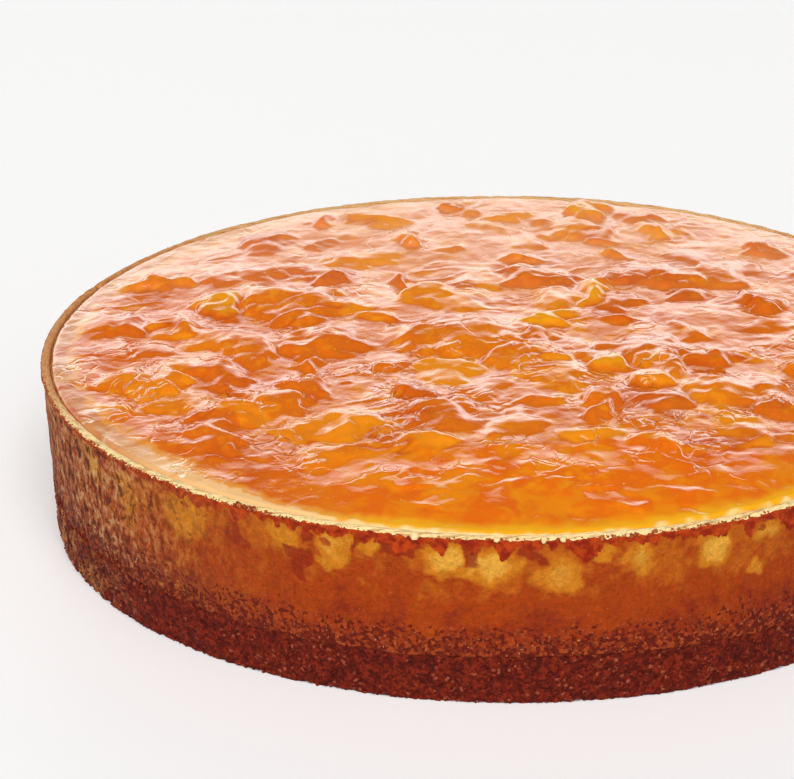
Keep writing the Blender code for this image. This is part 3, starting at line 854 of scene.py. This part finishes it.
def jam_height(x, y):
    """Edge + cushion h (1 - (r/R)^n) + apron + fade (swell + fruit + folds) + ripples - tuck.

    The cushion is steeper at the front. Near the rim the fruit fades out, and the tuck rounds the edge.
    """
    radius = np.hypot(x, y)
    reach = FRUIT_REACH + REACH_SHIFT * y / np.maximum(radius, 0.01 * MM)
    reach = reach + 5 * MM * np.maximum(np.cos(np.arctan2(y, x) + math.radians(140)), 0) ** 8
    inside = smooth(0, 1, (reach + 12 * MM - radius) / (14 * MM))
    front = np.maximum(np.cos(np.arctan2(y, x) + math.radians(80)), 0) ** 6
    cushion = (2.4 + 0.6 * front) * MM * (1 - (radius / WELL_RADIUS) ** (4 + 2 * front))
    swell = plane_waves(x, y, 5, 14, 0.30 * MM, (22 * MM, 60 * MM))
    bent_x, bent_y = bent(x, y)
    drowned = pool(*frayed(x, y))
    film = 0.6 * MM + 0.3 * MM * noise(bent_x, bent_y, 0, 11 * MM, 93)
    fruit = (1 - 0.85 * drowned) * (lumps(*wobbled(x, y), film) - 0.6 * MM)
    ripple = 0.09 * MM * noise(bent_x, bent_y, 0, 6 * MM, 94)
    ripple += drowned * 0.20 * MM * noise(bent_x, bent_y, 0, 7.5 * MM, 101)
    fine = (0.6 + 0.4 * inside) * (1 - 0.4 * drowned)
    ripple += fine * 0.12 * MM * noise(bent_x, bent_y / 1.5, 0, 2.6 * MM, 95)
    ripple += (1 - 0.75 * drowned) * 0.10 * MM * curls(x, y)
    ripple += islands(*wobbled(x, y))
    tuck = 0.8 * MM * smooth(1.1 * MM, 0, JAM_RADIUS - radius)
    skin = swell + fruit + (1 - drowned) * folds(bent_x, bent_y)
    return JAM_EDGE + cushion + apron(*frayed(x, y)) + inside * skin + ripple - tuck


JAM_CELLS = 309
step = np.linspace(-1, 1, JAM_CELLS + 1)
u, v = np.meshgrid(step, step, indexing="ij")
jam_x = JAM_RADIUS * u * np.sqrt(1 - 0.5 * v * v)
jam_y = JAM_RADIUS * v * np.sqrt(1 - 0.5 * u * u)
jam_z = jam_height(jam_x, jam_y)
print("the jam rises", round(float(jam_z.max() - CAKE_HEIGHT) / MM, 2), "mm above the rim")

# %% [markdown]
# The jam's colour follows its depth. Where only a film of it covers the filling, along the left and
# the front left of the rim, the pale cheese shows through; then it turns yellow, and where it lies
# deep it is a strong orange. The width of that thin margin is read off round the cake, and noise
# makes its border wander. What looks pale pink elsewhere is mostly no colour of the jam: it is the
# window behind the cake, mirrored by each part of the skin that lies nearly level. Towards the back
# a pale peach is painted in as well, as a painted sheen.

# %% How deep the jam looks
MARGIN_AT = np.radians([-180, -150, -135, -118, -105, -90, -60, -30, 0, 45, 90, 120, 150, 180])
MARGIN_WIDE = np.array([3.0, 3.8, 4.0, 0.8, -2.2, -2.0, -2.5, -0.5, 2.0, 2.0, 2.0, 3.0, 4.0, 3.0]) * MM
jam_angle = np.arctan2(jam_y, jam_x)
from_rim = JAM_RADIUS - np.hypot(jam_x, jam_y)
margin = np.interp(jam_angle, MARGIN_AT, MARGIN_WIDE)
wander = 1.5 * MM * noise(jam_x, jam_y, 0, 9 * MM, 96) + 1.4 * MM * noise(jam_x, jam_y, 0, 3.5 * MM, 97)
front = smooth(44, 30, np.abs((np.degrees(jam_angle) + 74 + 180) % 360 - 180))
deep = smooth(0, (5 + 7 * front) * MM + 0.6 * margin, from_rim + wander - margin)
at_left = smooth(math.radians(128), math.radians(158), np.abs(jam_angle))
at_back = (jam_angle > 0) * smooth(0, 0.6, jam_angle)
tan = np.clip(at_left + at_back, 0, 1) * (0.85 + 0.3 * noise(jam_x, jam_y, 0, 8 * MM, 100))
ripeness = np.random.default_rng(110).uniform(-1, 1, len(fruit_layout()))
weight = np.full_like(jam_x, (0.3 * MM) ** 4)
ripe = np.zeros_like(jam_x)
yellow = np.zeros_like(jam_x)
for number, dome in enumerate(domes(*wobbled(jam_x, jam_y))):
    weight += dome ** 4
    ripe += ripeness[number] * dome ** 4
    if number in YELLOW_PIECES:
        yellow = np.maximum(yellow, dome / (3.0 * MM))
rise = np.clip(weight ** 0.25 / (2.5 * MM), 0, 1)
ripe = ripe / weight
clear = pool(*frayed(jam_x, jam_y))
folded = smooth(-0.15, 0.25, noise(jam_x, jam_y, 0, 17 * MM, 99)) * smooth(-94 * MM, -84 * MM, jam_y)
folded *= 0.25 + 0.75 * smooth(15 * MM, -25 * MM, jam_y)
bent_x, bent_y = bent(jam_x, jam_y)
# Painted shade: the dip behind each fold line, which the finish paints dark red.
groove = np.clip(1.3 * crease(bent_x, bent_y - 0.9 * MM), 0, 1)
print("the thin margin is up to", round(float(margin.max()) / MM, 1), "mm wide")

# %% [markdown]
# Jam is clear, but a shader that bends light through it would be slow and noisy. Here its colour is
# painted by the marks instead, from the pale margin to the deep orange, with clouds of pulp, and a
# little light is let under the surface. Some light and shade is painted in as well: brighter tops on
# the lumps as painted highlights, dark dips behind the fold lines as painted shade, and a pale peach
# towards the back as painted sheen. The skin is very smooth, since the windows that it mirrors are
# most of the look. Wrinkles too fine for the mesh are bumps on it.

# %% The finish of the jam
def apricot_jam():
    """Amber, yellow and orange by depth, flecked with pulp, under a wet skin with fine wrinkles."""
    finish = new_finish("apricot_jam")
    place = finish.place()
    drifted = finish.shift(place, 9 * MM, 7 * MM)
    pulp = finish.cloud(drifted, 3.5 * MM, 4.0, 0.6)
    broad = finish.cloud(drifted, 14 * MM, 2.0, 0.5)
    deep = finish.mark("deep") + (pulp - 0.5) * 0.3
    tan = finish.mix((0.93, 0.57, 0.25), (0.60, 0.20, 0.055), finish.mark("tan"))
    tan = finish.mix(tan, (0.97, 0.70, 0.30), finish.mark("front"))
    yellow = finish.mix((0.84, 0.33, 0.055), (0.90, 0.42, 0.012), finish.mark("front"))
    colour = finish.mix(tan, yellow, finish.ease(deep, 0.04, 0.22))
    shade = finish.mark("ripe") * 0.35 + pulp + (broad - 0.5) * 0.8
    fruit = finish.mix((0.84, 0.27, 0.008), (0.72, 0.160, 0.007), finish.ease(shade, 0.25, 0.55))
    fruit = finish.mix(fruit, (0.60, 0.105, 0.008), finish.ease(shade, 0.55, 0.95))
    lighter = finish.ease(broad + (pulp - 0.5) * 0.5, 0.40, 0.64)
    pools = finish.mix((0.82, 0.150, 0.003), (0.86, 0.25, 0.004), lighter)
    flecks = finish.ease(finish.cloud(place, 0.5 * MM, 1.0), 0.69, 0.75)
    pools = finish.mix(pools, (0.95, 0.42, 0.05), flecks * 0.5)
    fruit = finish.mix(fruit, pools, finish.ease(finish.mark("clear"), 0.10, 0.45) * 0.92)
    colour = finish.mix(colour, fruit, finish.ease(deep, 0.28, 0.90))
    left = finish.axis(drifted, "X")
    redder = finish.ease(left * -1.0, 0.025, 0.060) * finish.ease(pulp, 0.35, 0.60)
    colour = finish.mix(colour, (0.72, 0.120, 0.006), redder * finish.ease(deep, 0.5, 0.9) * 0.55)
    # Painted highlight: the tops of the lumps are painted a brighter orange.
    painted_top_highlight = finish.mark("rise") * finish.ease(pulp, 0.46, 0.72) * 0.6
    colour = finish.mix(colour, (0.90, 0.33, 0.006), painted_top_highlight)
    soft = finish.mark("yellow") + (pulp - 0.5) * 0.9
    colour = finish.mix(colour, (0.86, 0.36, 0.007), finish.ease(soft, 0.25, 1.05) * 0.85)
    # Painted shade in the dip behind each fold line.
    colour = finish.mix(colour, (0.58, 0.075, 0.003), finish.mark("crease") * 0.75)
    ripple = finish.cloud(drifted, 3.0 * MM, 4.0, 0.55)
    bumps = finish.bump(ripple, 0.12 * MM)
    whirl = finish.shift(place, 7 * MM, 11 * MM)
    curly = finish.cloud(whirl, 5 * MM, 3.0, 0.6, 5.0)
    bumps = finish.bump(curly * (1 - 0.75 * finish.mark("clear")), 0.22 * MM, bumps)
    lines = finish.ease(abs(finish.cloud(whirl, 13 * MM, 1.0, 0.5, 3.0) - 0.5), 0.0, 0.035)
    bumps = finish.bump(lines * finish.mark("folded"), 0.38 * MM, bumps)
    finer = finish.ease(abs(finish.cloud(whirl, 8 * MM, 1.0, 0.5, 7.0) - 0.5), 0.0, 0.05)
    bumps = finish.bump(finer * finish.mark("folded") ** 2, 0.18 * MM, bumps)
    # Painted sheen: towards the back the jam is painted a pale peach, less on the lumps, and it is rougher
    # there.
    far = finish.ease(finish.axis(place, "Y"), 0.010, 0.100)
    colour = finish.mix(colour, (0.93, 0.47, 0.22), far * (0.45 - 0.35 * finish.mark("rise")))
    rough = 0.055 + 0.19 * far
    return finish.skin({
        "Base Color": colour, "Roughness": rough, "Normal": bumps, "IOR": 1.45,
        "Subsurface Weight": 0.12, "Subsurface Radius": (1.0, 0.4, 0.1), "Subsurface Scale": 0.8 * MM,
    })


jam_finish = apricot_jam()
print("the jam's finish has", len(jam_finish.node_tree.nodes), "nodes")

# %% [markdown]
# So far the jam is only a top. A skirt goes down from its border to just above the floor of the
# well, and a fan of triangles closes the underside, so that the jam is a solid body like the real
# one.

# %% Close the jam's surface down to its underside
across = JAM_CELLS + 1
point = np.arange(across * across).reshape(across, across)
corners = (point[:-1, :-1], point[1:, :-1], point[1:, 1:], point[:-1, 1:])
top_quads = np.stack(corners, axis=-1).reshape(-1, 4)
border = np.concatenate((point[:-1, 0], point[-1, :-1], point[:0:-1, -1], point[0, :0:-1]))
below = across * across + np.arange(len(border))
skirt = np.stack((border, below, np.roll(below, -1), np.roll(border, -1)), axis=-1)
middle = np.full(len(border), across * across + len(border))
underside = np.stack((middle, np.roll(below, -1), below), axis=-1)
JAM_FLOOR = CAKE_HEIGHT - WELL_DEPTH + 0.3 * MM
jam_top = np.stack((jam_x, jam_y, jam_z), axis=-1).reshape(-1, 3)
foot_share = (WELL_RADIUS - LIP_ROUND - 0.4 * MM) / JAM_RADIUS
foot = jam_top[border] * (foot_share, foot_share, 0) + (0, 0, JAM_FLOOR)
jam_marks = {
    "deep": deep, "rise": rise, "yellow": yellow, "tan": tan, "crease": groove,
    "ripe": ripe, "clear": clear, "front": front, "folded": folded,
}
for name, values in jam_marks.items():
    flat = values.ravel()
    jam_marks[name] = np.concatenate((flat, flat[border], [1.0]))
jam = make_piece(
    "apricot_jam_surface",
    np.vstack((jam_top, foot, [(0, 0, JAM_FLOOR)])),
    [*top_quads.tolist(), *skirt.tolist(), *underside.tolist()],
    jam_finish, "apricot_jam", ["fruit_topping"], **jam_marks,
)

# %% [markdown]
# Loose grains break the clean outlines: crumbs that stand out of the base and lie along the seam,
# browned crumbs on the lip, and beads and bubbles of jam. Thousands of objects would be slow, so
# each kind is one mesh in which a small closed grain is copied, turned, squashed and moved by
# whole-array sums.

# %% Grains in one mesh
def grain_shape():
    """A small ball of three rings of six points between two poles."""
    tilt = np.radians([45, 90, 135])[:, None]
    turn = (2 * math.pi * np.arange(6) / 6)[None, :]
    x = np.sin(tilt) * np.cos(turn)
    y = np.sin(tilt) * np.sin(turn)
    z = np.repeat(np.cos(tilt), 6, axis=1)
    return turned_points(x, y, z, 1.0, -1.0), turned_faces(3, 6)


def any_turns(chance, count):
    """Rotation matrices by chance, each worked out from a unit quaternion."""
    w, a, b, c = chance.normal(size=(4, count))
    size = np.sqrt(w * w + a * a + b * b + c * c)
    w, a, b, c = w / size, a / size, b / size, c / size
    return np.stack((
        1 - 2 * (b * b + c * c), 2 * (a * b - c * w), 2 * (a * c + b * w),
        2 * (a * b + c * w), 1 - 2 * (a * a + c * c), 2 * (b * c - a * w),
        2 * (a * c - b * w), 2 * (b * c + a * w), 1 - 2 * (a * a + b * b),
    ), axis=-1).reshape(count, 3, 3)


def strew(name, places, sizes, squash, finish, slot, seed, **marks):
    """One mesh of grains: each point is place + turn . (shape * size * squash by chance)."""
    chance = np.random.default_rng(seed)
    shape, faces = grain_shape()
    count = len(places)
    stretch = chance.uniform(squash, 1.0, (count, 1, 3)) * sizes[:, None, None]
    dents = chance.uniform(0.82, 1.12, (count, len(shape), 1))
    grains = np.einsum("nij,nkj->nki", any_turns(chance, count), shape[None] * stretch * dents)
    points = (grains + places[:, None, :]).reshape(-1, 3)
    points[:, 2] = np.maximum(points[:, 2], 0.0)
    all_faces = [[corner + k * len(shape) for corner in face] for k in range(count) for face in faces]
    on_points = {mark: np.repeat(values, len(shape)) for mark, values in marks.items()}
    return make_piece(name, points, all_faces, finish, slot, **on_points)


print("a grain has", len(grain_shape()[1]), "faces")

# %% Crumbs that stand out of the base
chance = np.random.default_rng(101)
CRUMB_COUNT = 6000
AT_SEAM = 2600
AT_FOOT = 600
turn = chance.uniform(-math.pi, math.pi, CRUMB_COUNT)
up = chance.uniform(0.2 * MM, CRUMB_HEIGHT + 0.6 * MM, CRUMB_COUNT)
up[:AT_SEAM] = CRUMB_HEIGHT + seam_wave(turn[:AT_SEAM]) + chance.normal(0.3 * MM, 1.1 * MM, AT_SEAM)
up[AT_SEAM:AT_SEAM + AT_FOOT] = chance.uniform(0.1 * MM, 0.7 * MM, AT_FOOT)
sizes = chance.uniform(0.28 * MM, 0.62 * MM, CRUMB_COUNT) * chance.uniform(0.6, 1.25, CRUMB_COUNT)
out = wall_radius(up) - 0.45 * MM - chance.uniform(0.0, 0.35 * MM, CRUMB_COUNT)
places = np.column_stack((out * np.cos(turn), out * np.sin(turn), up))
loose_crumbs = toasted_crumbs("loose_crumbs", *LOOSE)
strew("base_crumbs", places, sizes, 0.55, loose_crumbs, "toasted_crumbs", 102,
      cracks=np.zeros(CRUMB_COUNT))

# %% [markdown]
# Crumbs of browned cheese stick to the outside of the lip, more of them on the side that shows. Two
# heaps of larger ones are placed as in the photograph, one at the left front and one at the front.

# %% Browned crumbs on the lip
# The first hundred crumbs, heaps and all, lie anywhere, the next in front and the rest at the left.
LIP_COUNT = 760
LEFT_HEAP = 26
FRONT_HEAP = 14
ANYWHERE = 100
IN_FRONT = 320
heaped = LEFT_HEAP + FRONT_HEAP
turn = chance.uniform(-math.pi, math.pi, LIP_COUNT)
turn[ANYWHERE:ANYWHERE + IN_FRONT] = np.radians(chance.uniform(-165, -20, IN_FRONT))
turn[ANYWHERE + IN_FRONT:] = np.radians(chance.uniform(-172, -116, LIP_COUNT - ANYWHERE - IN_FRONT))
turn[:LEFT_HEAP] = np.radians(chance.normal(-122.0, 1.3, LEFT_HEAP))
turn[LEFT_HEAP:heaped] = np.radians(chance.normal(-77.0, 2.0, FRONT_HEAP))
out = chance.uniform(RIM_RADIUS - 0.8 * MM, RIM_RADIUS - 0.3 * MM, LIP_COUNT)
up = CAKE_HEIGHT - 0.7 * MM - smooth(RIM_RADIUS - 1.2 * MM, RIM_RADIUS, out) * 0.8 * MM
up[:LEFT_HEAP] += 0.5 * MM
sizes = chance.uniform(0.20 * MM, 0.42 * MM, LIP_COUNT)
sizes[:heaped] *= 1.9
places = np.column_stack((out * np.cos(turn), out * np.sin(turn), up))
browned_crumbs = toasted_crumbs("browned_crumbs", *BROWNED)
strew("lip_crumbs", places, sizes, 0.5, browned_crumbs, "browned_filling", 103,
      cracks=np.zeros(LIP_COUNT))

# %% [markdown]
# Where the filling wept over the lip, a few shiny beads dried on it. The jam holds tiny bubbles of
# air, which sit on its surface as bright dots. Both are grains again, only rounder and very smooth.

# %% Beads and bubbles of jam
def clear_jam(name, colour, roughness):
    """A wet drop: one colour clouded a little, very smooth."""
    finish = new_finish(name)
    clouds = finish.cloud(finish.place(), 0.8 * MM)
    shade = finish.tint(colour, 0.85 + 0.3 * clouds)
    return finish.skin({
        "Base Color": shade, "Roughness": roughness, "IOR": 1.45,
        "Subsurface Weight": 0.4, "Subsurface Radius": (1.0, 0.5, 0.2), "Subsurface Scale": 1 * MM,
    })


bead_turn = np.radians([-101.5, -92.3, -90.8, -87.0, -84.9, -77.5])
bead_sizes = np.array([1.4, 1.2, 0.6, 1.35, 1.1, 0.7]) * MM
bead_out = RIM_RADIUS - 0.25 * MM
bead_up = np.full(len(bead_turn), CAKE_HEIGHT - 1.0 * MM)
places = np.column_stack((bead_out * np.cos(bead_turn), bead_out * np.sin(bead_turn), bead_up))
cream_beads = clear_jam("cream_beads", (0.86, 0.60, 0.30), 0.2)
strew("lip_beads", places, bead_sizes, 0.6, cream_beads, "browned_filling", 104)

BUBBLE_COUNT = 140
BUBBLE_REACH = 106 * MM
turn = chance.uniform(-math.pi, math.pi, BUBBLE_COUNT)
out = BUBBLE_REACH * np.sqrt(chance.uniform(0, 1, BUBBLE_COUNT))
x, y = out * np.cos(turn), out * np.sin(turn)
places = np.column_stack((x, y, jam_height(x, y)))
sizes = chance.uniform(0.12 * MM, 0.26 * MM, BUBBLE_COUNT)
jam_bubbles = clear_jam("jam_bubbles", (0.90, 0.42, 0.05), 0.05)
strew("jam_bubbles", places, sizes, 0.9, jam_bubbles, "apricot_jam", 105)

# %% [markdown]
# The stage is a plain pale floor. Such a glossy top is best lit from behind: a wide window there
# makes the pale film on the jam, and the dim air above it leaves the steep sides of the lumps their
# own orange. The window is four bands that grow dimmer upwards, which softens the border between
# film and orange. A broad soft light high in front fills the wall.

# %% The floor
def make_floor():
    """A square of floor under the cake, pale and faintly clouded."""
    half = 6.0
    mesh = bpy.data.meshes.new("floor")
    corners = [(-half, -half, 0), (half, -half, 0), (half, half, 0), (-half, half, 0)]
    mesh.from_pydata(corners, [], [(0, 1, 2, 3)])
    finish = new_finish("pale_floor")
    clouds = finish.cloud(finish.place(), 0.6)
    mesh.materials.append(finish.skin({
        "Base Color": finish.tint((0.94, 0.96, 0.99), 0.97 + 0.05 * clouds),
        "Roughness": 0.55, "Specular IOR Level": 0.2,
        "Emission Color": (1.0, 1.0, 1.0), "Emission Strength": 0.08,
    }))
    floor = bpy.data.objects.new("floor", mesh)
    bpy.context.scene.collection.objects.link(floor)
    return floor


print("the floor is", round(make_floor().dimensions.x, 1), "m wide")

# %% The lights
def soft_light(name, place, towards, width, tall, radiance, colour):
    """An area light whose brightness is `radiance`: its power is radiance times pi times its area."""
    lamp = bpy.data.lights.new(name, "AREA")
    lamp.shape = "RECTANGLE"
    lamp.size = width
    lamp.size_y = tall
    lamp.energy = radiance * math.pi * width * tall
    lamp.color = colour
    light = bpy.data.objects.new(name, lamp)
    bpy.context.scene.collection.objects.link(light)
    light.location = place
    way = np.array(towards, float) - np.array(place, float)
    flat_way = math.hypot(way[0], way[1])
    light.rotation_euler = (math.atan2(flat_way, -way[2]), 0.0, math.atan2(-way[0], way[1]))
    light.visible_camera = False
    return light


# Each band of the window runs from one elevation to another, in degrees, with its own radiance. The
# elevations are seen from the front part of the jam, at SEEN_FROM_Y.
WINDOW_BANDS = ((2, 13.5, 1.75), (13.5, 20, 1.65), (20, 25, 1.35), (25, 30.5, 1.05))
WINDOW_Y = 3.0
WINDOW_WIDTH = 6.5
WINDOW_COLOUR = (1.0, 0.95, 0.88)
SEEN_FROM_Y = -0.1
FILL_PLACE = (-0.4, -2.7, 3.0)
FILL_SIDE = 3.0
FILL_RADIANCE = 5.3
FILL_COLOUR = (1.0, 0.97, 0.93)
window_distance = WINDOW_Y - SEEN_FROM_Y
for number, (low_edge, high_edge, radiance) in enumerate(WINDOW_BANDS):
    bottom = window_distance * math.tan(math.radians(low_edge))
    top = window_distance * math.tan(math.radians(high_edge))
    middle = (bottom + top) / 2
    place = (0.0, WINDOW_Y, middle)
    towards = (0, 0, middle)
    soft_light(f"window_{number}", place, towards, WINDOW_WIDTH, top - bottom, radiance, WINDOW_COLOUR)
soft_light("front_fill", FILL_PLACE, (0, 0, 0), FILL_SIDE, FILL_SIDE, FILL_RADIANCE, FILL_COLOUR)

# %% The air
def make_air():
    """The world: pale near the horizon, and above it grey towards the front and dim towards the back."""
    world = bpy.data.worlds.new("studio_air")
    air = Finish(world)
    way = air.add("ShaderNodeSeparateXYZ", {}, {0: air.add("ShaderNodeTexCoord")["Generated"]})
    above = air.mix((0.50, 0.50, 0.50), (0.07, 0.07, 0.07), air.ease(way["Y"], -0.6, 0.0))
    colour = air.mix((0.93, 0.94, 0.95), above, air.ease(way["Z"], 0.17, 0.42))
    shader = air.add("ShaderNodeBackground", {}, {"Color": colour, "Strength": 1.0})["Background"]
    air.add("ShaderNodeOutputWorld", {}, {"Surface": shader})
    bpy.context.scene.world = world
    return world


print("world:", make_air().name)

# %% [markdown]
# The camera was found by fitting the two rims of the cake to the photograph: a long lens that looks
# down by 22 degrees. The cake runs out of the picture on the right, as it does there. The colours
# are kept as they are, without a film look.

# %% The camera
FOCAL_LENGTH = 204.03
SENSOR_WIDTH = 36.0
CAMERA_PLACE = (-0.028093, -1.079786, 0.470148)
CAMERA_TILT = math.radians(67.99)
scene = bpy.context.scene
camera_data = bpy.data.cameras.new("camera")
camera_data.lens = FOCAL_LENGTH
camera_data.sensor_width = SENSOR_WIDTH
camera_data.clip_start = 0.05
camera_data.clip_end = 50.0
camera = bpy.data.objects.new("camera", camera_data)
scene.collection.objects.link(camera)
camera.location = CAMERA_PLACE
camera.rotation_euler = (CAMERA_TILT, 0.0, 0.0)
scene.camera = camera
scene.view_settings.view_transform = "Standard"
scene.view_settings.look = "None"
print("camera at", tuple(camera.location))
